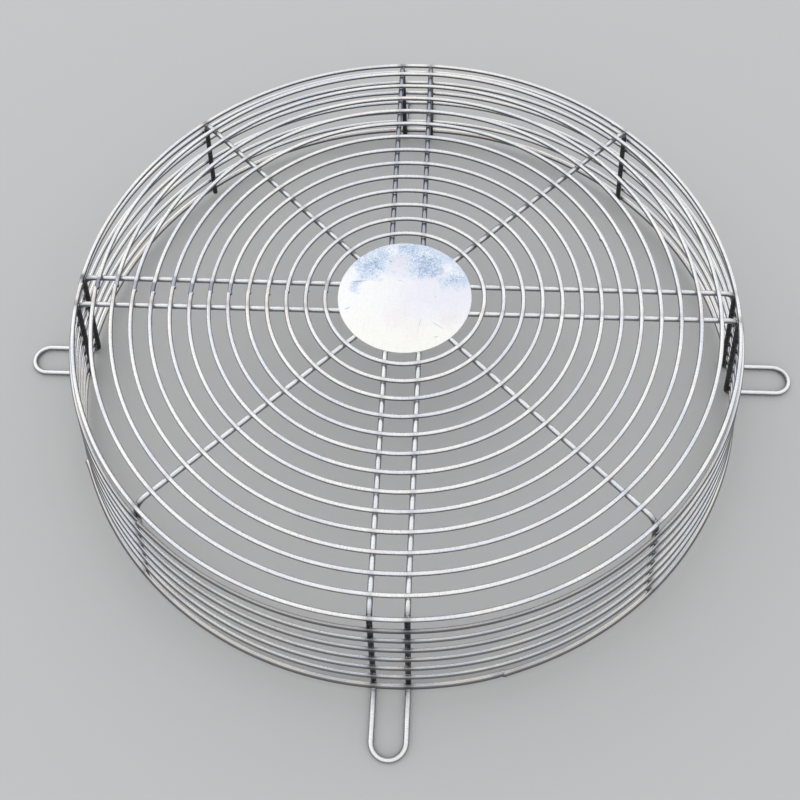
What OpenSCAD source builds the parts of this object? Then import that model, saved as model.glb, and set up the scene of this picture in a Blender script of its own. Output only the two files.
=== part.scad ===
// Fan guard of welded steel wire: a flat face of round rings, a flared wall of
// rings, and four bent wires whose ends form the mounting loops.
// Millimetres. The face looks up (+Z), the loops rest on z = 0, and the fan
// shaft would run along Z through the origin.

/* [Wire] */
// Diameter of the wire of the face, rim and wall rings
ring_wire_d = 3; // [2:0.1:4]
// Diameter of the wire of the spokes, legs and loops
spoke_wire_d = 3.7; // [3:0.1:5]
// Diameter of the wire of the base ring
base_wire_d = 4.2; // [3:0.1:6]
// Depth that a resistance weld sets one wire into the other
weld_setdown = 0.3; // [0.1:0.05:0.5]

/* [Hub] */
// Diameter of the hub disc
hub_disc_d = 90; // [70:1:96]
// Thickness of the hub disc
hub_disc_t = 1.5; // [1:0.1:3]
// How far each spoke runs in under the hub disc
spoke_lap = 14; // [8:1:16]

/* [Face] */
// Centre-line radius of the smallest face ring
first_ring_r = 53.5; // [52:0.5:60]
// Step in radius from one face ring to the next, and on to the rim ring
ring_pitch = 13; // [10:0.5:16]
// Distance between the two wires of a spoke pair
pair_spacing = 22; // [14:1:40]

/* [Rim] */
// Centre-line radius of the bend from spoke to leg
rim_bend_r = 9; // [6:0.5:12]
// Place of the rim ring on that bend, in degrees above the horizontal
rim_seat_angle = 43; // [30:1:60]

/* [Wall] */
// Outward lean of the legs, in degrees from the vertical
wall_flare = 8.5; // [0:0.5:15]
// Distance down the leg from the rim bend to the first wall ring
first_wall_drop = 3.5; // [2.5:0.5:8]
// Distance down the leg from one wall ring to the next, and on to the base ring
wall_pitch = 12.6; // [10:0.2:16]
// How far a rib runs on below the base ring
rib_tail = 2.5; // [1.5:0.5:6]

/* [Mounting loops] */
// Distance down the leg from the base ring to the foot bend
foot_drop = 1.5; // [1.4:0.1:4]
// Centre-line radius of the bend from leg to loop
foot_bend_r = 5; // [4.5:0.5:8]
// Distance from the base ring to the far end of a loop, centre-line to centre-line
loop_reach = 44; // [30:1:60]

/* [Hidden] */
face_rings = 13;
wall_rings = 6;
sides = ["right", "back", "left", "front"];
corners = ["back_right", "back_left", "front_left", "front_right"];

// Facets round a wire, and round a ring or a bend
wire_fn = 32;
sweep_fn = 180;
// A bend begins and ends in a ball this much thicker than its wire, which joins
// it to the straight runs on both sides
bend_swell = 0.012 * spoke_wire_d;

// Centre-line distances of two wires that are welded across each other
ring_seat = (ring_wire_d + spoke_wire_d) / 2 - weld_setdown;
base_seat = (base_wire_d + spoke_wire_d) / 2 - weld_setdown;

// Every leg has the same outline, given as [radius, height above the spoke].
rim_ring_r = first_ring_r + face_rings * ring_pitch;
rim_bend = [rim_ring_r - (rim_bend_r + ring_seat) * cos(rim_seat_angle), -rim_bend_r];
leg_down = [sin(wall_flare), -cos(wall_flare)];
leg_out = [cos(wall_flare), sin(wall_flare)];
base_drop = first_wall_drop + wall_rings * wall_pitch;

// Point at a distance down the leg from the rim bend, and out from its centre line
function on_leg(drop, out = 0) = rim_bend + (rim_bend_r + out) * leg_out + drop * leg_down;

function face_ring_r(i) = first_ring_r + (i - 1) * ring_pitch;
function wall_ring_place(i) = on_leg(first_wall_drop + (i - 1) * wall_pitch, ring_seat);
rim_ring_place = rim_bend
    + (rim_bend_r + ring_seat) * [cos(rim_seat_angle), sin(rim_seat_angle)];
base_ring_place = on_leg(base_drop, base_seat);

foot_bend = on_leg(base_drop + foot_drop, foot_bend_r);
loop_height = foot_bend[1] - foot_bend_r;
loop_bend_r = pair_spacing / 2;
loop_bend_x = base_ring_place[0] + loop_reach - loop_bend_r;

// Height of the spokes' centre line above the floor under the loops
spoke_z = spoke_wire_d / 2 - loop_height;
spoke_start = hub_disc_d / 2 - spoke_lap;

// A closed ring of wire at [radius, height above the spoke]
module wire_ring(place, d) {
    translate([0, 0, spoke_z + place[1]])
        rotate_extrude($fn = sweep_fn)
            translate([place[0], 0])
                circle(d = d, $fn = wire_fn);
}

// A straight wire between two points of a leg's outline
module wire_run(start, end) {
    step = end - start;
    translate([start[0], 0, start[1]])
        rotate([0, atan2(step[0], step[1]), 0])
            cylinder(d = spoke_wire_d, h = norm(step), $fn = wire_fn);
}

// An arc of wire in the XY plane, from one angle on through another
module wire_arc(r, start, sweep) {
    rotate([0, 0, start])
        rotate_extrude(angle = sweep, $fn = sweep_fn)
            translate([r, 0])
                circle(d = spoke_wire_d, $fn = wire_fn);
    for (angle = [start, start + sweep])
        rotate([0, 0, angle])
            translate([r, 0, 0])
                sphere(d = spoke_wire_d + bend_swell, $fn = wire_fn);
}

// The same arc stood upright round a point of a leg's outline
module wire_bend(centre, r, start, sweep) {
    translate([centre[0], 0, centre[1]])
        rotate([90, 0, 0])
            wire_arc(r, start, sweep);
}

// Spoke, rim bend and leg in one wire, which ends at a distance down the leg
module spoke_and_leg(drop) {
    wire_run([spoke_start, 0], [rim_bend[0], 0]);
    wire_bend(rim_bend, rim_bend_r, wall_flare, 90 - wall_flare);
    wire_run(on_leg(0), on_leg(drop));
}

module hub_disc() {
    color("gainsboro")
        translate([0, 0, spoke_z + spoke_wire_d / 2 - weld_setdown])
            cylinder(d = hub_disc_d, h = hub_disc_t, $fn = sweep_fn);
}

module face_ring(i) {
    color("silver") wire_ring([face_ring_r(i), ring_seat], ring_wire_d);
}

module rim_ring() {
    color("silver") wire_ring(rim_ring_place, ring_wire_d);
}

module wall_ring(i) {
    color("silver") wire_ring(wall_ring_place(i), ring_wire_d);
}

module base_ring() {
    color("darkgray") wire_ring(base_ring_place, base_wire_d);
}

// What is welded across the spokes and legs, and so leaves its seats in them
module welded_across() {
    hub_disc();
    for (i = [1:face_rings]) face_ring(i);
    rim_ring();
    for (i = [1:wall_rings]) wall_ring(i);
    base_ring();
}

// Half of a mounting wire: one spoke, its leg and foot, and a quarter turn of loop
module mount_wire_half() {
    difference() {
        translate([0, 0, spoke_z]) {
            translate([0, loop_bend_r, 0]) {
                spoke_and_leg(base_drop + foot_drop);
                wire_bend(foot_bend, foot_bend_r, 180 + wall_flare, 90 - wall_flare);
                wire_run([foot_bend[0], loop_height], [loop_bend_x, loop_height]);
            }
            translate([loop_bend_x, 0, loop_height])
                wire_arc(loop_bend_r, 0, 90);
        }
        welded_across();
    }
}

// One wire bent into two spokes, two legs and the mounting loop between them
module mount_wire(turn) {
    color("lightgray")
        rotate([0, 0, turn]) {
            mount_wire_half();
            mirror([0, 1, 0]) mount_wire_half();
        }
}

// A single spoke and leg between two pairs
module rib_wire(turn) {
    color("lightgray")
        difference() {
            rotate([0, 0, turn])
                translate([0, 0, spoke_z])
                    spoke_and_leg(base_drop + rib_tail);
            welded_across();
        }
}

hub_disc();
rim_ring();
base_ring();
for (i = [1:face_rings])
    face_ring(i);
for (i = [1:wall_rings])
    wall_ring(i);
for (i = [0:3]) {
    mount_wire(90 * i);
    rib_wire(90 * i + 45);
}
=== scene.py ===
"""Looks of the wire fan guard: round wires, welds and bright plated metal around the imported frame.

Lengths are in metres in the row's frame: +Z out of the guard's face, mounting loops along +-X and +-Y.
"""

import functools
import math
import random

import bpy
import numpy as np
from mathutils import Matrix, Vector, noise


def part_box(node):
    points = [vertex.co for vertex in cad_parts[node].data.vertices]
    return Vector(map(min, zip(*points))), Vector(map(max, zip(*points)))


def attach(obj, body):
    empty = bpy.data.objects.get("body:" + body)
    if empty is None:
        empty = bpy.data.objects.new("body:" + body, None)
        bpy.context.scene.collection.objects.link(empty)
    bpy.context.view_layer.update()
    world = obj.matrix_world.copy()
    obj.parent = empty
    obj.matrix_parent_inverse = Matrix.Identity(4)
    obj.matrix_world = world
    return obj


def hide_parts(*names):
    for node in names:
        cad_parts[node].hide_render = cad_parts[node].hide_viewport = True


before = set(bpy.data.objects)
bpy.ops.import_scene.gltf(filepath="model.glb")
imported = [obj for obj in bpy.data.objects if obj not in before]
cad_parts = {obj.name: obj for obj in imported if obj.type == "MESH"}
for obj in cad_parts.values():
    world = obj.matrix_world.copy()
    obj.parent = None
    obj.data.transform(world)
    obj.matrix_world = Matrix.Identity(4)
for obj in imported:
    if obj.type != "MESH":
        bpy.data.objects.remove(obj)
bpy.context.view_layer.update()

MM = 0.001
FACE_RINGS = 13
WALL_RINGS = 6
SIDES = {"right": 0, "back": 90, "left": 180, "front": 270}
CORNERS = {"back_right": 45, "back_left": 135, "front_left": 225, "front_right": 315}
BODY = "root"

# Wire, bends and welds, as the construction has them
SPOKE_R = 1.85 * MM
PAIR_SPACING = 22 * MM
RIM_BEND_R = 9 * MM
FOOT_BEND_R = 5 * MM
WELD_SETDOWN = 0.3 * MM

# How finely a wire is swept
WIRE_SIDES = 20
WIRE_TURNS = np.linspace(0, 2 * math.pi, WIRE_SIDES, endpoint=False)
RING_STEPS = 600
JOINT_SPAN = 12 * MM
JOINT_STEP = 0.3 * MM
BEND_STEP = math.radians(4)
RUN_STEP = 1.5 * MM
SAME_POINT = 0.01 * MM

# A swept wire's share of its solid's radius, which keeps it inside the solid's box
RING_SHARE = 0.996
FRAME_SHARE = 0.997
# A loop's bends as a share of half the pair's spacing, which leaves a short run between them
LOOP_BEND_SHARE = 0.9999
# The broken edge of a sheared wire end, as a share of the wire's radius
SHEAR_BEVEL = 0.25

chance = random.Random(7)


# ---------------------------------------------------------------- sizes read from the frame


class Ring:
    """A ring's centre line and wire radius, measured on its node."""

    def __init__(self, node, slot):
        low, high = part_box(node)
        self.node = node
        self.slot = slot
        self.wire_r = (high.z - low.z) / 2
        self.z = (high.z + low.z) / 2
        self.r = high.x - self.wire_r


face_rings = [Ring(f"face_ring_{i}", "ring_wire") for i in range(1, FACE_RINGS + 1)]
wall_rings = [Ring(f"wall_ring_{i}", "ring_wire") for i in range(1, WALL_RINGS + 1)]
rim_ring = Ring("rim_ring", "ring_wire")
base_ring = Ring("base_ring", "base_wire")
all_rings = face_rings + [rim_ring] + wall_rings + [base_ring]

loop_low, loop_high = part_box("mount_wire_right")
rib_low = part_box("rib_wire_back_right")[0]
disc_low, disc_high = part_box("hub_disc")
floor_z = loop_low.z

ring_seat = face_rings[0].wire_r + SPOKE_R - WELD_SETDOWN
spoke_z = face_rings[0].z - ring_seat
loop_z = SPOKE_R
loop_end = loop_high.x - SPOKE_R
spoke_start = loop_low.x


# ---------------------------------------------------------------- paths


def leg_line():
    """A point on the legs' centre line and its unit direction down the wall, as (outwards, up) pairs."""
    top, foot = wall_rings[0], wall_rings[-1]
    down = Vector((foot.r - top.r, foot.z - top.z)).normalized()
    inwards = Vector((down.y, -down.x))
    return Vector((top.r, top.z)) + inwards * ring_seat, down


def leg_at(z):
    """How far out the leg's centre line is at a height."""
    point, down = leg_line()
    return point.x + (z - point.y) * down.x / down.y


def rim_bend_centre():
    """Centre of the bend from spoke to leg, as (outwards, up)."""
    corner = Vector((leg_at(spoke_z), spoke_z))
    before, onwards = Vector((-1, 0)), leg_line()[1]
    half = before.angle(onwards) / 2
    return corner + (before + onwards).normalized() * (RIM_BEND_R / math.sin(half))


def rounded(corners, radii):
    """Points along a polyline whose inner corners are rounded with arcs of the given radii."""
    points = []
    here = corners[0]
    for corner, after, radius in zip(corners[1:-1], corners[2:], radii):
        before = (here - corner).normalized()
        onwards = (after - corner).normalized()
        half = before.angle(onwards) / 2
        reach = radius / math.tan(half)
        start = corner + before * reach
        centre = corner + (before + onwards).normalized() * (radius / math.sin(half))
        points += run(here, start)
        points += arc(centre, start, corner + onwards * reach)
        here = corner + onwards * reach
    points += run(here, corners[-1]) + [corners[-1]]
    return [p for p, q in zip(points, [points[-1]] + points) if (p - q).length > SAME_POINT]


def run(start, end):
    """Points along a straight stretch, without its last."""
    steps = max(1, round((end - start).length / RUN_STEP))
    return [start.lerp(end, i / steps) for i in range(steps)]


def arc(centre, start, end):
    """Points along a bend, without its last."""
    first, last = start - centre, end - centre
    sweep = first.angle(last)
    axis = first.cross(last).normalized()
    steps = max(2, round(sweep / BEND_STEP))
    return [centre + Matrix.Rotation(sweep * i / steps, 3, axis) @ first for i in range(steps)]


def mount_wire_path():
    """The right mount wire: spoke, leg, loop and back along its other leg and spoke."""
    side = PAIR_SPACING / 2
    half = [
        Vector((spoke_start, side, spoke_z)),
        Vector((leg_at(spoke_z), side, spoke_z)),
        Vector((leg_at(loop_z), side, loop_z)),
        Vector((loop_end, side, loop_z)),
    ]
    corners = half + [Vector((p.x, -p.y, p.z)) for p in reversed(half)]
    loop_bend = side * LOOP_BEND_SHARE
    return rounded(corners, [RIM_BEND_R, FOOT_BEND_R, loop_bend, loop_bend, FOOT_BEND_R, RIM_BEND_R])


def rib_wire_path():
    """A rib wire along +X: one spoke and one leg."""
    foot_z = rib_low.z + SPOKE_R * leg_line()[1].x
    corners = [
        Vector((spoke_start, 0, spoke_z)),
        Vector((leg_at(spoke_z), 0, spoke_z)),
        Vector((leg_at(foot_z), 0, foot_z)),
    ]
    return rounded(corners, [RIM_BEND_R])


# ---------------------------------------------------------------- meshes


def new_object(name, verts, faces, attributes, material):
    """A smooth mesh object with named values at its vertices, linked and given its material slot."""
    mesh = bpy.data.meshes.new(name)
    mesh.from_pydata(verts, [], faces)
    mesh.validate()
    for key, values in attributes.items():
        kind, field = ("FLOAT_VECTOR", "vector") if np.ndim(values) == 2 else ("FLOAT", "value")
        data = mesh.attributes.new(key, kind, "POINT").data
        data.foreach_set(field, np.asarray(values, np.float32).ravel())
    mesh.shade_smooth()
    mesh.materials.append(material)
    piece = bpy.data.objects.new(name, mesh)
    bpy.context.scene.collection.objects.link(piece)
    return piece


def settle(piece, *nodes):
    """Let a piece ride on the guard, and take the place of the given nodes."""
    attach(piece, BODY)
    if nodes:
        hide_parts(*nodes)


def skin(rows, sides, closed=False):
    """Faces between neighbouring rows of vertices, each of which goes once round."""
    faces = []
    for i in range(rows if closed else rows - 1):
        a, b = i * sides, (i + 1) % rows * sides
        for j in range(sides):
            k = (j + 1) % sides
            faces.append((a + j, b + j, b + k, a + k))
    return faces


def unit(rows):
    """Each row of an array at length 1."""
    return rows / np.linalg.norm(rows, axis=1)[:, None]


def sweep_frames(points, closed):
    """Tangents and two cross directions along a path, without twist."""
    if closed:  # a level ring
        tangents = unit(np.roll(points, -1, 0) - np.roll(points, 1, 0))
        ups = np.tile((0.0, 0.0, 1.0), (len(points), 1))
        ups -= (ups * tangents).sum(1)[:, None] * tangents
    else:
        tangents = unit(np.gradient(points, axis=0))
        ups = np.zeros_like(points)
        up = np.array((0.0, 0.0, 1.0))
        for i, tangent in enumerate(tangents):
            up = up - up.dot(tangent) * tangent
            up /= np.linalg.norm(up)
            ups[i] = up
    ups = unit(ups)
    return tangents, ups, np.cross(tangents, ups)


def doubled(values, end):
    """An array whose first (end 0) or last (end -1) entry comes twice."""
    return np.insert(values, 0 if end == 0 else len(values), values[end], axis=0)


def swept_wire(points, radii, closed):
    """A round wire along a path: vertices, faces, each vertex's place round and along it, and its line."""
    points = np.array([tuple(p) for p in points])
    radii = np.broadcast_to(radii, len(points)).astype(float)
    tangents, ups, sides = sweep_frames(points, closed)
    steps = np.linalg.norm(np.diff(points, axis=0), axis=1)
    along = np.concatenate(([0], np.cumsum(steps)))
    if not closed:  # a sheared end with a small broken edge
        bevel = SHEAR_BEVEL * radii[0]
        for end, inwards, inner in ((0, 1, 1), (-1, -1, -2)):
            points, radii, tangents, ups, sides, along = (
                doubled(values, end) for values in (points, radii, tangents, ups, sides, along)
            )
            points[inner] += inwards * tangents[end] * bevel
            radii[end] -= bevel
    around = np.cos(WIRE_TURNS)[:, None] * ups[:, None] + np.sin(WIRE_TURNS)[:, None] * sides[:, None]
    verts = points[:, None] + radii[:, None, None] * around
    count = len(points)
    faces = skin(count, WIRE_SIDES, closed)
    if not closed:
        faces.append(tuple(range(WIRE_SIDES)))
        faces.append(tuple(reversed(range((count - 1) * WIRE_SIDES, count * WIRE_SIDES))))
    place = np.empty((count, WIRE_SIDES, 3))
    place[..., 0] = np.cos(WIRE_TURNS) * radii[:, None]
    place[..., 1] = np.sin(WIRE_TURNS) * radii[:, None]
    place[..., 2] = along[:, None]
    return verts.reshape(-1, 3), faces, place.reshape(-1, 3), points


# ---------------------------------------------------------------- welds


def crossings(ring):
    """Where a ring crosses the spokes or legs: (wire's name, angle)."""
    half = math.asin(PAIR_SPACING / 2 / ring.r)
    for side, turn in SIDES.items():
        yield f"mount_wire_{side}", math.radians(turn) - half
        yield f"mount_wire_{side}", math.radians(turn) + half
    for corner, turn in CORNERS.items():
        yield f"rib_wire_{corner}", math.radians(turn)


# The least and the most that a weld's mark darkens the wire, from 0 to 1: heat tint and painted contact
# shade
WELD_BURN_AND_SHADE = (0.45, 1.0)
welds = [
    {"wire": wire, "ring": ring, "angle": angle, "burn_and_shade": chance.uniform(*WELD_BURN_AND_SHADE)}
    for ring in all_rings
    for wire, angle in crossings(ring)
]


def seat_direction(ring):
    """From a ring's wire to the wire it is welded to, as (outwards, up)."""
    if ring in face_rings:
        return Vector((0, -1))
    if ring is rim_ring:
        return (rim_bend_centre() - Vector((ring.r, ring.z))).normalized()
    down = leg_line()[1]
    return Vector((down.y, -down.x))


def weld_point(weld):
    """Middle of the weld, the way from the ring to the other wire, and the ring's direction there."""
    ring, angle = weld["ring"], weld["angle"]
    side, up = seat_direction(ring)
    kind, name = weld["wire"].split("_wire_")
    turn = math.radians(SIDES[name] if kind == "mount" else CORNERS[name])
    towards = Vector((math.cos(turn) * side, math.sin(turn) * side, up))
    along_ring = Vector((-math.sin(angle), math.cos(angle), 0))
    centre = Vector((ring.r * math.cos(angle), ring.r * math.sin(angle), ring.z))
    return centre + towards * (ring.wire_r - WELD_SETDOWN / 2), towards, along_ring


# Heat marks and painted contact shade at the welds: how far each reaches along the wire, and how dark it is
# at most
RING_MARK_ON_FACE = (2.2 * MM, 0.3)
RING_MARK_ON_WALL = (3.0 * MM, 0.8)
SPOKE_MARK = (2.4 * MM, 0.5)
BACK_RIB_MARK = (4.0 * MM, 0.85)
LEG_MARK = (5.5 * MM, 0.95)
# How dark the front ribs' painted leg shade and weld marks are, where 1 is as dark as on the other wires
FRONT_RIB_SHADE_AND_BURN = 0.7
# Over what height a leg's painted dark stretch, a painted dark reflection, comes in
LEG_FADE = 4 * MM


def past(turns, place, ring):
    """Distance round the ring past a place given in degrees, negative before it, the shorter way round."""
    gap = (turns - math.radians(place) + math.pi) % (2 * math.pi) - math.pi
    return gap * ring.r


def bell(distance, width):
    """1 at no distance, and falling smoothly to 0 past the given width."""
    return np.exp(-((distance / width) ** 2))


def leg_shade_and_burn(wire):
    """How dark a wire's painted leg shade and its weld marks are, where 1 is as dark as on most."""
    return FRONT_RIB_SHADE_AND_BURN if wire.startswith("rib_wire_front") else 1.0


def ring_burn_and_shade(ring, turns):
    """How dark a ring is at the given turns, from 0 to 1: heat tint and painted shade at each weld."""
    reach, darkness = RING_MARK_ON_FACE if ring in face_rings else RING_MARK_ON_WALL
    burn_and_shade = np.zeros(len(turns))
    for weld in welds:
        if weld["ring"] is ring:
            gap = past(turns, math.degrees(weld["angle"]), ring)
            burn_and_shade = np.maximum(burn_and_shade, weld["burn_and_shade"] * leg_shade_and_burn(weld["wire"]) * bell(gap, reach))
    return burn_and_shade * darkness


def frame_burn_and_shade(name, line):
    """How dark a mount or rib wire is: heat tint and painted shade at each weld, and painted shade all along
    its legs.
    """
    burn_and_shade = np.zeros(len(line))
    for weld in welds:
        if weld["wire"] != name:
            continue
        if weld["ring"] not in face_rings:
            reach, darkness = LEG_MARK
        elif name.startswith("rib_wire_back"):
            reach, darkness = BACK_RIB_MARK
        else:
            reach, darkness = SPOKE_MARK
        gap = np.linalg.norm(line - np.array(weld_point(weld)[0]), axis=1)
        burn_and_shade = np.maximum(burn_and_shade, weld["burn_and_shade"] * darkness * bell(gap, reach))
    # The legs are painted dark all along, a painted dark reflection
    into_leg = np.minimum(spoke_z - line[:, 2], line[:, 2] - loop_z) / LEG_FADE
    return np.maximum(burn_and_shade, np.clip(into_leg, 0, 1)) * leg_shade_and_burn(name)


# A bead of weld metal: its facets, half its width in millimetres, half its height, and its lumps
BEAD_RINGS = 6
BEAD_SIDES = 14
BEAD_HALF_WIDTHS = (1.45, 1.85)
BEAD_HALF_HEIGHT = 0.62 * MM
BEAD_LUMPINESS = 0.22
BEAD_LUMP_SCALE = 1.7
BEAD_SEEDS = (0, 50)


def bead(centre, axes, seed):
    """A lumpy lens of squeezed-out metal, as vertices and faces."""
    verts = []
    for i in range(1, BEAD_RINGS):
        lift = math.pi * i / BEAD_RINGS
        for j in range(BEAD_SIDES):
            turn = 2 * math.pi * j / BEAD_SIDES
            way = Vector((math.sin(lift) * math.cos(turn), math.sin(lift) * math.sin(turn), math.cos(lift)))
            swell = 1 + BEAD_LUMPINESS * noise.noise(way * BEAD_LUMP_SCALE + Vector((seed, 0, 0)))
            verts.append(centre + sum((axis * part for axis, part in zip(axes, way * swell)), Vector()))
    verts += [centre + axes[2], centre - axes[2]]
    faces = skin(BEAD_RINGS - 1, BEAD_SIDES)
    last = (BEAD_RINGS - 2) * BEAD_SIDES
    for j in range(BEAD_SIDES):
        k = (j + 1) % BEAD_SIDES
        faces.append((len(verts) - 2, j, k))
        faces.append((len(verts) - 1, last + k, last + j))
    return verts, faces


# ---------------------------------------------------------------- materials


class Nodes:
    """A material's node tree, built a node at a time."""

    def __init__(self, name):
        self.material = bpy.data.materials.new(name)
        self.material.use_nodes = True
        self.tree = self.material.node_tree
        self.shader = self.tree.nodes["Principled BSDF"]

    def add(self, kind, values=None, **settings):
        """A node with settings, and with a value or a link on each of the given inputs."""
        node = self.tree.nodes.new(kind)
        for key, value in settings.items():
            setattr(node, key, value)
        for key, value in (values or {}).items():
            if isinstance(value, bpy.types.NodeSocket):
                self.tree.links.new(value, node.inputs[key])
            else:
                node.inputs[key].default_value = value
        return node

    def attribute(self, name, output="Fac"):
        return self.add("ShaderNodeAttribute", attribute_name=name).outputs[output]

    def noise(self, vector, scale, detail=3.0, roughness=0.55, output="Fac"):
        values = {"Vector": vector, "Scale": scale, "Detail": detail, "Roughness": roughness}
        return self.add("ShaderNodeTexNoise", values).outputs[output]

    def ramp(self, value, low, high, to_low=0.0, to_high=1.0):
        values = {"Value": value, "From Min": low, "From Max": high, "To Min": to_low, "To Max": to_high}
        return self.add("ShaderNodeMapRange", values).outputs["Result"]

    def maths(self, operation, a, b):
        return self.add("ShaderNodeMath", {0: a, 1: b}, operation=operation).outputs[0]

    def times(self, a, b):
        return self.maths("MULTIPLY", a, b)

    def larger(self, a, b):
        return self.maths("MAXIMUM", a, b)

    def vector(self, operation, *values, output="Vector"):
        node = self.add("ShaderNodeVectorMath", dict(enumerate(values)), operation=operation)
        return node.outputs[output]

    def mix(self, factor, a, b):
        return self.add("ShaderNodeMix", {0: factor, 6: a, 7: b}, data_type="RGBA").outputs[2]

    def constant(self, socket, value):
        self.shader.inputs[socket].default_value = value

    def link(self, output, socket):
        self.tree.links.new(output, self.shader.inputs[socket])

    def bump(self, height, strength, distance):
        values = {"Height": height, "Strength": strength, "Distance": distance}
        self.link(self.add("ShaderNodeBump", values).outputs["Normal"], "Normal")


def colour(red, green, blue):
    """An opaque colour."""
    return (red, green, blue, 1.0)


# Plated wire, each as its main tone, a cool cloud and a warm cloud.
# The clouds are partly the plating's own tint and partly painted reflections of sky and clouds.
ZINC = (colour(0.95, 0.94, 0.91), colour(0.78, 0.81, 0.88), colour(0.88, 0.82, 0.78))
BARE_ZINC = (colour(0.91, 0.92, 0.92), colour(0.78, 0.81, 0.86), colour(0.86, 0.83, 0.79))
AGED_ZINC = (colour(0.90, 0.87, 0.81), colour(0.73, 0.73, 0.76), colour(0.80, 0.72, 0.62))
# Marks and heat colours on the wire, and painted shade and a painted reflection
DRAWN_GREY = colour(0.52, 0.50, 0.48)
SPECK_GREY = colour(0.46, 0.46, 0.47)
# Near black: heat tint and painted contact shade at the welds, and the legs' painted dark reflection
SHADE_AND_BURN_BLACK = colour(0.032, 0.031, 0.034)
# Painted shade on the wires' flanks, a painted dark reflection
FLANK_SHADE = colour(0.080, 0.083, 0.092)
# Blue-grey: heat tint before a joint, and a painted reflection on the back mount wire
BLUED_AND_REFLECTED = colour(0.20, 0.22, 0.31)
STRAW = colour(0.62, 0.50, 0.43)
# Painted shade at the front of some rings
FRONT_SHADE_TONE = colour(0.40, 0.37, 0.34)
# Where the underside of a wire turns light again, a painted reflection of the floor
LIT_BENEATH = (-0.70, -0.95)
# Weld metal
WELD_DARK = colour(0.30, 0.29, 0.29)
WELD_BRIGHT = colour(0.85, 0.85, 0.86)


def wire_metal(name, tones, shaded_below, lit_above, grain=1.0, flank_shading=0.88):
    """Bright plated wire: clouded tints, partly painted reflections, fine drawn marks, heat colours and
    painted shade at its welds, legs painted dark, and painted shade on its flanks.

    "facing" is 1 where the wire's surface faces straight up and -1 where it faces down. The wire gets
    painted shade, a painted dark reflection, where facing is under the lower of its two limits, and keeps
    its tint where facing is over the upper one. Right underneath it is light again, a painted reflection of
    the floor.
    """
    n = Nodes(name)
    n.constant("Metallic", 1.0)
    place = n.attribute("wire_place", "Vector")

    def marks(across, along, detail, roughness=0.55):
        """Noise with so many marks to the metre across the wire and along it."""
        return n.noise(n.vector("MULTIPLY", place, (across, across, along)), 1.0, detail, roughness)

    tone, cool, warm = tones
    # Cool and warm clouds: partly the plating's own tint, partly painted reflections of sky and clouds
    tint = n.mix(n.ramp(marks(140, 22, 2.0), 0.42, 0.62), tone, cool)
    tint = n.mix(n.ramp(marks(120, 31, 2.0, 0.7), 0.52, 0.72), tint, warm)
    drawn = marks(3800, 90, 4.0, 0.6)
    tint = n.mix(n.ramp(drawn, 0.55, 0.75, 0.0, 0.35 * grain), tint, DRAWN_GREY)
    specks = marks(500, 1300, 3.0, 0.6)
    tint = n.mix(n.ramp(specks, 0.50, 0.72, 0.0, 0.45 * grain), tint, SPECK_GREY)
    tint = n.mix(n.times(n.attribute("straw"), 0.55), tint, STRAW)
    # Blue-grey heat tint before joints, and the back mount wire's painted reflection
    tint = n.mix(n.attribute("blued_and_reflected"), tint, BLUED_AND_REFLECTED)
    # Painted shade at the front of some rings
    tint = n.mix(n.attribute("front_shade"), tint, FRONT_SHADE_TONE)
    # Painted shade on the flanks by how far the surface faces up, and a painted floor reflection right
    # underneath
    shaded_flank = n.mix(flank_shading, tint, FLANK_SHADE)
    facing = n.attribute("facing")
    lit = n.larger(n.ramp(facing, shaded_below, lit_above), n.ramp(facing, *LIT_BENEATH))
    tint = n.mix(lit, shaded_flank, tint)
    # Heat tint and painted contact shade at the welds, and the legs painted dark as a painted dark
    # reflection
    burn_and_shade = n.times(n.attribute("burn_and_shade"), n.ramp(marks(900, 700, 4.0, 0.65), 0.25, 0.55, 0.55, 1.0))
    n.link(n.mix(burn_and_shade, tint, SHADE_AND_BURN_BLACK), "Base Color")
    rough = n.ramp(marks(700, 160, 3.0), 0.3, 0.7, 0.14 + 0.06 * grain, 0.22 + 0.12 * grain)
    n.link(n.maths("ADD", rough, n.times(burn_and_shade, 0.2)), "Roughness")
    n.bump(drawn, 0.15 * grain, 0.05 * MM)
    return n.material


def weld_metal():
    """Squeezed-out weld metal: blotched, rough and pitted."""
    n = Nodes("weld_metal")
    n.constant("Metallic", 1.0)
    place = n.add("ShaderNodeTexCoord").outputs["Object"]
    blotch = n.noise(place, 900.0)
    n.link(n.mix(n.ramp(blotch, 0.4, 0.65), WELD_DARK, WELD_BRIGHT), "Base Color")
    n.link(n.ramp(blotch, 0.3, 0.7, 0.35, 0.55), "Roughness")
    n.bump(n.noise(place, 2500.0, 4.0), 0.4, 0.1 * MM)
    return n.material


# The wire metals differ in their tints and in where their painted flank shade starts and ends
ring_metal = wire_metal("ring_metal", ZINC, 0.30, 0.84)
wall_metal = wire_metal("wall_metal", ZINC, 0.30, 0.72, grain=0.3)
frame_metal = wire_metal("frame_metal", BARE_ZINC, 0.46, 0.95, flank_shading=0.76)
base_metal = wire_metal("base_metal", AGED_ZINC, 0.28, 0.76, grain=0.5)
weld_grey = weld_metal()


# ---------------------------------------------------------------- rings


class Joint:
    """Where a ring's two ends are butt welded, seen going anticlockwise round the ring."""

    def __init__(self, turn, step, flash=0.3, tint=0.5):
        self.turn = turn  # place round the ring, in degrees
        self.step = step * MM  # how much further out the ring goes on after the joint
        self.flash = flash * MM  # how far squeezed-out metal stands proud on the inside
        self.tint = tint  # how blue-grey the wire is before the joint


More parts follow.
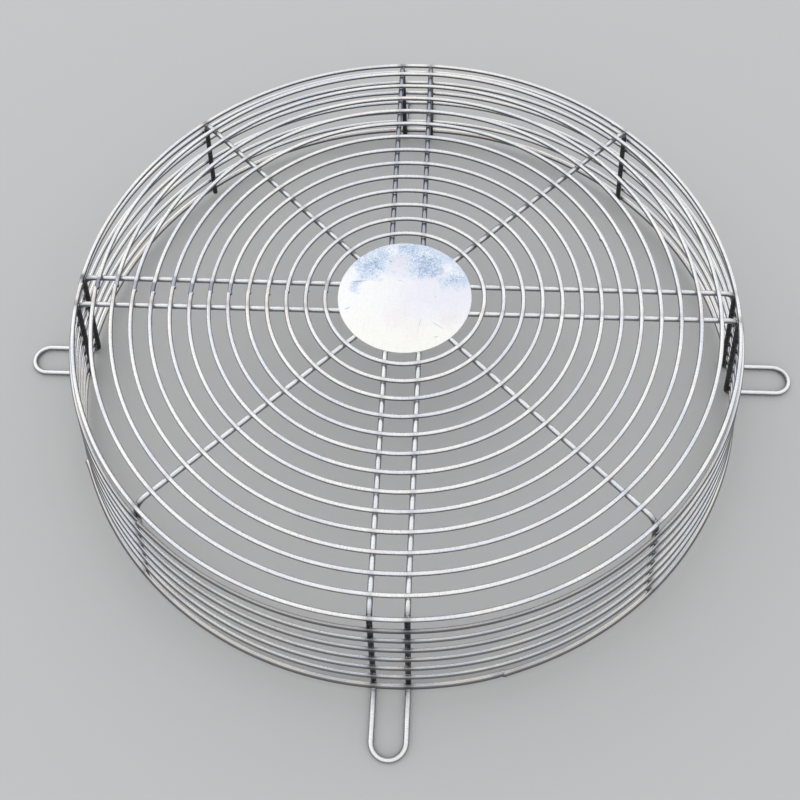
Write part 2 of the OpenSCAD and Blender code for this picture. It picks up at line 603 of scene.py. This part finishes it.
# Each face ring closes between the two left spokes: distance behind their middle, step, flash, tint
FACE_JOINTS = (
    (2.5, 0.3, 0.5, 0.5),
    (2.5, 0.0, 0.3, 0.0),
    (1.5, 0.4, 0.6, 0.2),
    (-1.0, 0.2, 0.6, 0.2),
    (-0.5, 0.2, 0.5, 0.3),
    (-1.5, 0.7, 0.9, 0.8),
    (-0.5, 0.1, 0.2, 0.9),
    (-2.5, -0.5, 0.2, 0.9),
    (2.5, 0.0, 0.8, 0.7),
    (-2.5, -0.5, 0.2, 1.0),
    (-1.0, -0.2, 0.4, 0.7),
    (3.0, 0.5, 1.1, 0.6),
    (0.5, 1.2, 0.5, 1.0),
)
OTHER_JOINTS = {
    rim_ring: [Joint(178.5, -0.5)],
    wall_rings[0]: [Joint(226.5, 1.2, tint=0.3)],
    wall_rings[1]: [Joint(45.3, 0.8, tint=0.2)],
    wall_rings[2]: [Joint(179.0, 0.5)],
    wall_rings[3]: [Joint(181.5, -0.6)],
    wall_rings[4]: [Joint(179.5, 0.4)],
    wall_rings[5]: [Joint(180.5, 0.6)],
    base_ring: [Joint(201.4, 2.4, 0.2, 0.2), Joint(287.5, 0.8, 0.2, 0.3)],
}
# Small lumps elsewhere on a ring: place in degrees, share of the wire's radius
LUMPS = {face_rings[7]: (21.6, 0.30), face_rings[8]: (22.0, 0.16), rim_ring: (47.9, 0.22)}
LUMP_LENGTH = 1.3 * MM

# A joint's step dies away over this length. Its lump is a share of the wire's radius.
STEP_FADE = 7 * MM
JOINT_LUMP = 0.12
JOINT_LUMP_LENGTH = 0.7 * MM
FLASH_LENGTH = 0.6 * MM
# The blue-grey tint before a joint: how far it reaches, over what length it comes in, and its strength
TINT_REACH = 9 * MM
TINT_FADE = 2 * MM
TINT_STRENGTH = 0.85
# The burnt line in a joint, and the straw colour after it
SEAM_LENGTH = 0.4 * MM
SEAM_BURN = 0.3
STRAW_REACH = 8 * MM
STRAW_STRENGTH = 0.8

# How far a ring waves in and out between its welds, and how far it sags
RING_WAVE = 0.22 * MM
RING_SAG = 0.15 * MM
# How far the painted light side of the wall's rings is turned inwards from straight up at the front
WALL_LEAN = math.radians(42)
LEAN_REACH = 0.3
# How steeply the front of a ring gives way to its sides
FRONT_SLOPE = 1.3
# How much painted shade a ring has at the front, darker than the rest, from 0 to 1
FRONT_SHADED_RINGS = {wall_rings[0]: 0.55, wall_rings[2]: 0.2}


def joints(ring):
    """The butt joints of a ring."""
    if ring not in face_rings:
        return OTHER_JOINTS[ring]
    behind, step, flash, tint = FACE_JOINTS[face_rings.index(ring)]
    return [Joint(180 - math.degrees(behind * MM / ring.r), step, flash, tint)]


def ring_turns(ring):
    """Angles of the ring's sections, close together at its joints and its lump."""
    turns = np.linspace(0, 2 * math.pi, RING_STEPS, endpoint=False)
    for place in [joint.turn for joint in joints(ring)] + list(LUMPS.get(ring, ())[:1]):
        near = math.radians(place) + np.arange(-JOINT_SPAN, JOINT_SPAN, JOINT_STEP) / ring.r
        turns = turns[np.abs(past(turns, place, ring)) > JOINT_SPAN + JOINT_STEP]
        turns = np.concatenate((turns, near % (2 * math.pi)))
    return np.sort(turns)


def wave(turns, seed):
    """A slow, closed wave round a ring."""
    dice = random.Random(seed)
    total = np.zeros(len(turns))
    for times in (2, 3, 5, 7):
        total += dice.uniform(0.3, 1.0) / times * np.cos(times * turns + dice.uniform(0, 2 * math.pi))
    return total


def between_welds(turns, ring):
    """0 at each weld and 1 midway between two, so that a ring leaves its line only clear of its seats."""
    stops = sorted(weld["angle"] % (2 * math.pi) for weld in welds if weld["ring"] is ring)
    stops = np.array([stops[-1] - 2 * math.pi] + stops + [stops[0] + 2 * math.pi])
    after = np.searchsorted(stops, turns % (2 * math.pi), side="right")
    low, high = stops[after - 1], stops[after]
    return np.sin(math.pi * (turns % (2 * math.pi) - low) / (high - low)) ** 2


def at_front(turns, reach=0.0):
    """1 round the front of a ring and 0 at its back. A larger reach takes more of its sides along."""
    return np.clip(reach - FRONT_SLOPE * np.sin(turns), 0, 1)


def ring_colours(ring, turns):
    """What a ring's metal is told at each vertex: how far it faces up, its heat colours and its painted
    shade.
    """
    burn_and_shade = ring_burn_and_shade(ring, turns)
    straw = np.zeros(len(turns))
    blued_and_reflected = np.zeros(len(turns))
    for joint in joints(ring):
        gap = past(turns, joint.turn, ring)
        before = np.clip((gap + TINT_REACH) / TINT_FADE, 0, 1) * (gap < 0)
        blued_and_reflected = np.maximum(blued_and_reflected, TINT_STRENGTH * joint.tint * before)
        burn_and_shade = np.maximum(burn_and_shade, SEAM_BURN * bell(gap, SEAM_LENGTH))
        after = np.exp(-np.abs(gap - STRAW_REACH) / STRAW_REACH) * (gap > 0)
        straw = np.maximum(straw, STRAW_STRENGTH * after)
    # Round the front, the wall and base rings' painted light side leans inwards
    leans = ring in wall_rings or ring is base_ring
    lean = WALL_LEAN * at_front(turns, LEAN_REACH) * leans
    return {
        "facing": np.cos(WIRE_TURNS + lean[:, None]).reshape(-1),
        # heat tint at the welds and joints, and painted contact shade at the welds
        "burn_and_shade": np.repeat(burn_and_shade, WIRE_SIDES),
        "straw": np.repeat(straw, WIRE_SIDES),
        "blued_and_reflected": np.repeat(blued_and_reflected, WIRE_SIDES),
        # painted shade at the front of some rings
        "front_shade": np.repeat(FRONT_SHADED_RINGS.get(ring, 0.0) * at_front(turns), WIRE_SIDES),
    }


def make_ring(ring, metal):
    """A ring of round wire with its joints, its slight wave and sag, and its heat colours."""
    turns = ring_turns(ring)
    loose = between_welds(turns, ring)
    radial = ring.r + RING_WAVE * wave(turns, ring.node) * loose
    swell = np.zeros(len(turns))
    flash = np.zeros(len(turns))
    for joint in joints(ring):
        gap = past(turns, joint.turn, ring)
        radial += joint.step / 2 * np.where(gap < 0, -1, 1) * np.exp(-np.abs(gap) / STEP_FADE)
        swell += JOINT_LUMP * bell(gap, JOINT_LUMP_LENGTH)
        flash += joint.flash * bell(gap, FLASH_LENGTH)
    if ring in LUMPS:
        place, size = LUMPS[ring]
        swell += size * bell(past(turns, place, ring), LUMP_LENGTH)
    height = ring.z - RING_SAG * np.abs(wave(turns, ring.node + "z")) * loose - ring.wire_r * swell
    points = np.stack((radial * np.cos(turns), radial * np.sin(turns), height), 1)
    verts, faces, place, _ = swept_wire(points, ring.wire_r * (RING_SHARE + swell), closed=True)
    inner_side = (radial[:, None] - np.hypot(verts[:, 0], verts[:, 1]).reshape(len(turns), -1)) / ring.wire_r
    push = 1 - flash[:, None] * np.clip(inner_side, 0, 1) ** 2 / radial[:, None]
    verts[:, :2] *= push.reshape(-1, 1)
    attributes = {"wire_place": place, **ring_colours(ring, turns)}
    piece = new_object(ring.node + "_wire", verts, faces, attributes, metal)
    settle(piece, ring.node)


# ---------------------------------------------------------------- mount wires and rib wires


# How blue-grey the back mount wire is painted, a painted reflection
BACK_REFLECTION_TINT = 0.68


def make_frame_wire(name, path, turn):
    """A mount wire or a rib wire: its path turned to its place, with its heat marks, painted shade and
    painted reflection tint.
    """
    spin = Matrix.Rotation(turn, 3, "Z")
    verts, faces, place, line = swept_wire([spin @ p for p in path], SPOKE_R * FRAME_SHARE, closed=False)
    attributes = {
        "wire_place": place,
        "facing": (verts - np.repeat(line, WIRE_SIDES, 0))[:, 2] / SPOKE_R,
        # heat marks and painted shade at the welds, and legs painted dark
        "burn_and_shade": np.repeat(frame_burn_and_shade(name, line), WIRE_SIDES),
        "straw": np.zeros(len(verts)),
        # the back mount wire's painted reflection
        "blued_and_reflected": np.full(len(verts), BACK_REFLECTION_TINT if name == "mount_wire_back" else 0.0),
        "front_shade": np.zeros(len(verts)),
    }
    piece = new_object(name + "_round", verts, faces, attributes, frame_metal)
    settle(piece, name)


def make_beads(name):
    """The welds of one mount wire or rib wire, as one piece."""
    verts, faces = [], []
    for weld in welds:
        if weld["wire"] != name:
            continue
        centre, towards, along_ring = weld_point(weld)
        across = towards.cross(along_ring).normalized()
        wide = chance.uniform(*BEAD_HALF_WIDTHS) * MM
        lens = (along_ring * wide, across * wide, towards * BEAD_HALF_HEIGHT)
        more, more_faces = bead(centre, lens, chance.uniform(*BEAD_SEEDS))
        faces += [tuple(i + len(verts) for i in face) for face in more_faces]
        verts += more
    piece = new_object(name + "_welds", verts, faces, {}, weld_grey)
    settle(piece)


for ring in face_rings + [rim_ring]:
    make_ring(ring, ring_metal)
for ring in wall_rings:
    make_ring(ring, wall_metal)
make_ring(base_ring, base_metal)
for side, turn in SIDES.items():
    make_frame_wire(f"mount_wire_{side}", mount_wire_path(), math.radians(turn))
    make_beads(f"mount_wire_{side}")
for corner, turn in CORNERS.items():
    make_frame_wire(f"rib_wire_{corner}", rib_wire_path(), math.radians(turn))
    make_beads(f"rib_wire_{corner}")


# ---------------------------------------------------------------- hub disc


# Painted reflections of sky and clouds on the disc: place in millimetres, radius, strength
BLUE_ZONES = (
    (-25, 25, 17, 1.0),
    (13, 30, 18, 1.0),
    (2, 40, 14, 0.9),
    (33, 15, 13, 0.8),
    (-33, 9, 8, 0.7),
    (-16, 34, 12, 0.9),
)
BLUE_CORES = (
    (-25, 26, 8, 0.9),
    (14, 27, 8, 1.0),
    (19, 22, 6, 0.9),
    (-14, 31, 4, 0.6),
    (4, 41, 8, 0.5),
    (33, 14, 5, 0.5),
)
PALE_SPOTS = ((-9, 37, 7, 0.9), (12, 35, 5, 0.8), (28, 24, 9, 1.0), (-36, 18, 8, 0.9))
BLUSHES = ((-4, 27, 9, 0.8), (32, -17, 9, 0.9), (-2, -16, 13, 0.6), (6, -26, 12, 0.4))
# Scratches: place in millimetres, angle, length, width
SCRATCHES = (
    (23, -23, -35, 12, 0.6),
    (-38, -11, 25, 6, 0.9),
    (11, -21, 80, 10, 0.5),
    (22, -32, 20, 4, 0.8),
    (-31, 11.5, 8, 11, 1.6),
    (-4, 13, -15, 4, 0.7),
    (20.6, 0, 0, 1.2, 1.0),
    (28, 10, -30, 2.5, 0.8),
    (-11, 29, -30, 4, 1.0),
)
# Colours of the disc from its front to its back, and of the clouds, specks and marks on it;
# all but the grain and scratch marks are painted reflections of sky and clouds
CREAM = colour(0.955, 0.94, 0.885)
WHITE = colour(0.95, 0.94, 0.925)
LAVENDER = colour(0.82, 0.82, 0.91)
SKY = colour(0.62, 0.72, 0.89)
PALE = colour(0.93, 0.945, 0.95)
BLUSH = colour(0.86, 0.79, 0.80)
CORE_BLUE = colour(0.24, 0.35, 0.54)
CLOUD_BLUE = colour(0.46, 0.58, 0.80)
DARK_SPECK = colour(0.26, 0.38, 0.56)
LIGHT_SPECK = colour(0.88, 0.95, 0.96)
GRAIN_GREY = colour(0.62, 0.62, 0.66)
SCRATCH_GREY = colour(0.26, 0.27, 0.30)
# How far the outlines of the painted cloud reflections wander
DRIFT = 22 * MM

DISC_SIDES = 180
DISC_EDGE = 0.25 * MM


def on_disc(x, y):
    """A place on top of the disc, given in millimetres."""
    return (x * MM, y * MM, disc_high.z)


def clouds(n, place, spots):
    """The strongest of several soft round spots."""
    masks = []
    for x, y, radius, strength in spots:
        gap = n.vector("DISTANCE", place, on_disc(x, y), output="Value")
        masks.append(n.ramp(gap, radius * MM, 0.2 * radius * MM, 0.0, strength))
    return functools.reduce(n.larger, masks)


def scratches(n, place):
    """The strongest of several short straight marks."""
    masks = []
    for x, y, angle, length, width in SCRATCHES:
        offset = n.vector("SUBTRACT", place, on_disc(x, y))
        values = {"Vector": offset, "Angle": -math.radians(angle)}
        turned = n.add("ShaderNodeVectorRotate", values, rotation_type="Z_AXIS").outputs[0]
        scaled = n.vector("MULTIPLY", turned, (2 / (length * MM), 2 / (width * MM), 0))
        masks.append(n.ramp(n.vector("LENGTH", scaled, output="Value"), 1.0, 0.4))
    return functools.reduce(n.larger, masks)


def disc_metal():
    """Plated sheet: cream in front, lavender and cloudy blue at the back, with fine grain and scratches.

    The cream, lavender and blue clouds and their specks are painted reflections of sky and clouds.
    """
    n = Nodes("disc_metal")
    n.constant("Metallic", 1.0)
    place = n.add("ShaderNodeTexCoord").outputs["Object"]
    drift = n.noise(place, 90.0, 4.0, 0.5, output="Color")
    drift = n.vector("SUBTRACT", drift, (0.5, 0.5, 0.5))
    drifted = n.vector("MULTIPLY_ADD", drift, (DRIFT, DRIFT, 0.0), place)
    axes = n.add("ShaderNodeSeparateXYZ", {0: drifted}).outputs
    speckle = n.noise(place, 950.0, 2.0, 0.85)
    mottle = n.noise(place, 330.0, 4.0, 0.75)

    # Painted reflection of sky: cream in front, white, lavender and blue towards the back
    tint = n.mix(n.ramp(axes["Y"], -34 * MM, -8 * MM), CREAM, WHITE)
    lavender = n.times(n.ramp(axes["X"], -22 * MM, 14 * MM), n.ramp(axes["Y"], -26 * MM, -4 * MM))
    tint = n.mix(n.times(lavender, 0.75), tint, LAVENDER)
    # Painted reflections of blue sky and clouds, with their pale and pink spots, dark cores and specks
    blue = n.ramp(clouds(n, drifted, BLUE_ZONES), 0.05, 0.7)
    haze = n.larger(blue, n.ramp(axes["Y"], 12 * MM, 34 * MM, 0.0, 0.8))
    tint = n.mix(n.times(haze, 0.85), tint, SKY)
    tint = n.mix(clouds(n, drifted, PALE_SPOTS), tint, PALE)
    tint = n.mix(n.times(clouds(n, drifted, BLUSHES), 0.55), tint, BLUSH)
    core = n.times(clouds(n, drifted, BLUE_CORES), n.ramp(mottle, 0.36, 0.60, 0.1, 1.0))
    tint = n.mix(core, tint, CORE_BLUE)
    tint = n.mix(n.times(n.ramp(mottle, 0.50, 0.62), n.ramp(haze, 0.0, 1.0, 0.05, 0.55)), tint, CLOUD_BLUE)
    in_blue = n.ramp(blue, 0.0, 1.0, 0.10, 1.0)
    tint = n.mix(n.times(n.ramp(speckle, 0.52, 0.60), n.times(in_blue, 0.6)), tint, DARK_SPECK)
    tint = n.mix(n.times(n.ramp(speckle, 0.48, 0.40), n.times(in_blue, 0.7)), tint, LIGHT_SPECK)
    grain = n.noise(n.vector("MULTIPLY", place, (900, 60, 1)), 1.0, 4.0, 0.7)
    tint = n.mix(n.ramp(grain, 0.55, 0.75, 0.0, 0.28), tint, GRAIN_GREY)
    worn = n.times(scratches(n, place), n.ramp(speckle, 0.30, 0.60, 0.2, 0.75))
    n.link(n.mix(worn, tint, SCRATCH_GREY), "Base Color")
    n.link(n.ramp(speckle, 0.3, 0.7, 0.24, 0.38), "Roughness")
    n.bump(n.noise(place, 60.0), 0.10, 0.5 * MM)
    return n.material


def make_disc():
    """A flat round plate with a small burr-free edge."""
    r, broken = disc_high.x, 0.3 * DISC_EDGE
    profile = [
        (r - DISC_EDGE, disc_high.z),
        (r - broken, disc_high.z - broken),
        (r, disc_high.z - DISC_EDGE),
        (r, disc_low.z + DISC_EDGE),
        (r - broken, disc_low.z + broken),
        (r - DISC_EDGE, disc_low.z),
    ]
    turns = [2 * math.pi * j / DISC_SIDES for j in range(DISC_SIDES)]
    verts = [(radius * math.cos(t), radius * math.sin(t), z) for radius, z in profile for t in turns]
    faces = skin(len(profile), DISC_SIDES)
    faces.append(tuple(range(DISC_SIDES)))
    faces.append(tuple(reversed(range(len(verts) - DISC_SIDES, len(verts)))))
    piece = new_object("hub_plate", verts, faces, {}, disc_metal())
    for flat in (-1, -2):
        piece.data.polygons[flat].use_smooth = False
    settle(piece, "hub_disc")


make_disc()


# ---------------------------------------------------------------- studio


FLOOR_HALF = 60.0
FLOOR_COLOUR = colour(0.54, 0.54, 0.535)
FLOOR_ROUGHNESS = 0.9

# Sky: height from the horizon (0) to overhead (1), and brightness there
SKY_STOPS = ((0.04, 0.58), (0.13, 0.98))
HORIZON = colour(0.56, 0.56, 0.57)
OVERHEAD = colour(1.00, 1.01, 1.03)
SKY_BLUE = 1.02

KEY_PLACE = (-1.5, 1.0, 1.4)
KEY_TARGET = (0, 0, 0.05)
KEY_SIZE = 2.4
KEY_POWER = 3.0

# Camera at the photograph's viewing angle; its angles are in degrees
FILM_WIDTH = 36
FOCAL_LENGTH = 47.27
CAMERA_PLACE = (0.02659, -0.41158, 0.67227)
CAMERA_DOWN = 60.017
CAMERA_ROLL = -2.218
CAMERA_TURN = 4.5


def make_floor():
    """A plain pale floor that the mounting loops lie on."""
    mesh = bpy.data.meshes.new("floor")
    corners = [(x * FLOOR_HALF, y * FLOOR_HALF, 0) for x, y in ((-1, -1), (1, -1), (1, 1), (-1, 1))]
    mesh.from_pydata(corners, [], [(0, 1, 2, 3)])
    floor = bpy.data.objects.new("floor", mesh)
    floor.location.z = floor_z
    bpy.context.scene.collection.objects.link(floor)
    n = Nodes("floor_paint")
    n.constant("Base Color", FLOOR_COLOUR)
    n.constant("Roughness", FLOOR_ROUGHNESS)
    mesh.materials.append(n.material)


def make_world():
    """A soft sky: bright overhead, greyer towards the horizon."""
    world = bpy.data.worlds.new("studio")
    world.use_nodes = True
    tree = world.node_tree
    nodes, links = tree.nodes, tree.links
    back = nodes["Background"]
    place = nodes.new("ShaderNodeTexCoord")
    axes = nodes.new("ShaderNodeSeparateXYZ")
    ramp = nodes.new("ShaderNodeValToRGB")
    links.new(place.outputs["Generated"], axes.inputs[0])
    links.new(axes.outputs["Z"], ramp.inputs[0])
    links.new(ramp.outputs[0], back.inputs[0])
    stops = ramp.color_ramp.elements
    stops[0].position, stops[0].color = 0.0, HORIZON
    stops[1].position, stops[1].color = 1.0, OVERHEAD
    for position, grey in SKY_STOPS:
        stops.new(position).color = colour(grey, grey, grey * SKY_BLUE)
    back.inputs[1].default_value = 1.0
    bpy.context.scene.world = world


def make_key():
    """One large soft lamp behind the guard on its left."""
    lamp = bpy.data.lights.new("key", "AREA")
    lamp.size = KEY_SIZE
    lamp.energy = KEY_POWER
    light = bpy.data.objects.new("key", lamp)
    light.location = KEY_PLACE
    light.rotation_euler = (Vector(KEY_TARGET) - Vector(KEY_PLACE)).to_track_quat("-Z", "Y").to_euler()
    bpy.context.scene.collection.objects.link(light)


def make_camera():
    """The photograph's camera."""
    lens = bpy.data.cameras.new("camera")
    lens.sensor_width = FILM_WIDTH
    lens.lens = FOCAL_LENGTH
    camera = bpy.data.objects.new("camera", lens)
    turn = Matrix.Rotation(math.radians(CAMERA_TURN), 4, "Z")
    tip = Matrix.Rotation(math.radians(90 - CAMERA_DOWN), 4, "X")
    roll = Matrix.Rotation(math.radians(CAMERA_ROLL), 4, "Z")
    camera.matrix_world = Matrix.Translation(CAMERA_PLACE) @ turn @ tip @ roll
    bpy.context.scene.collection.objects.link(camera)
    bpy.context.scene.camera = camera


make_floor()
make_world()
make_key()
make_camera()
bpy.context.scene.view_settings.view_transform = "Standard"
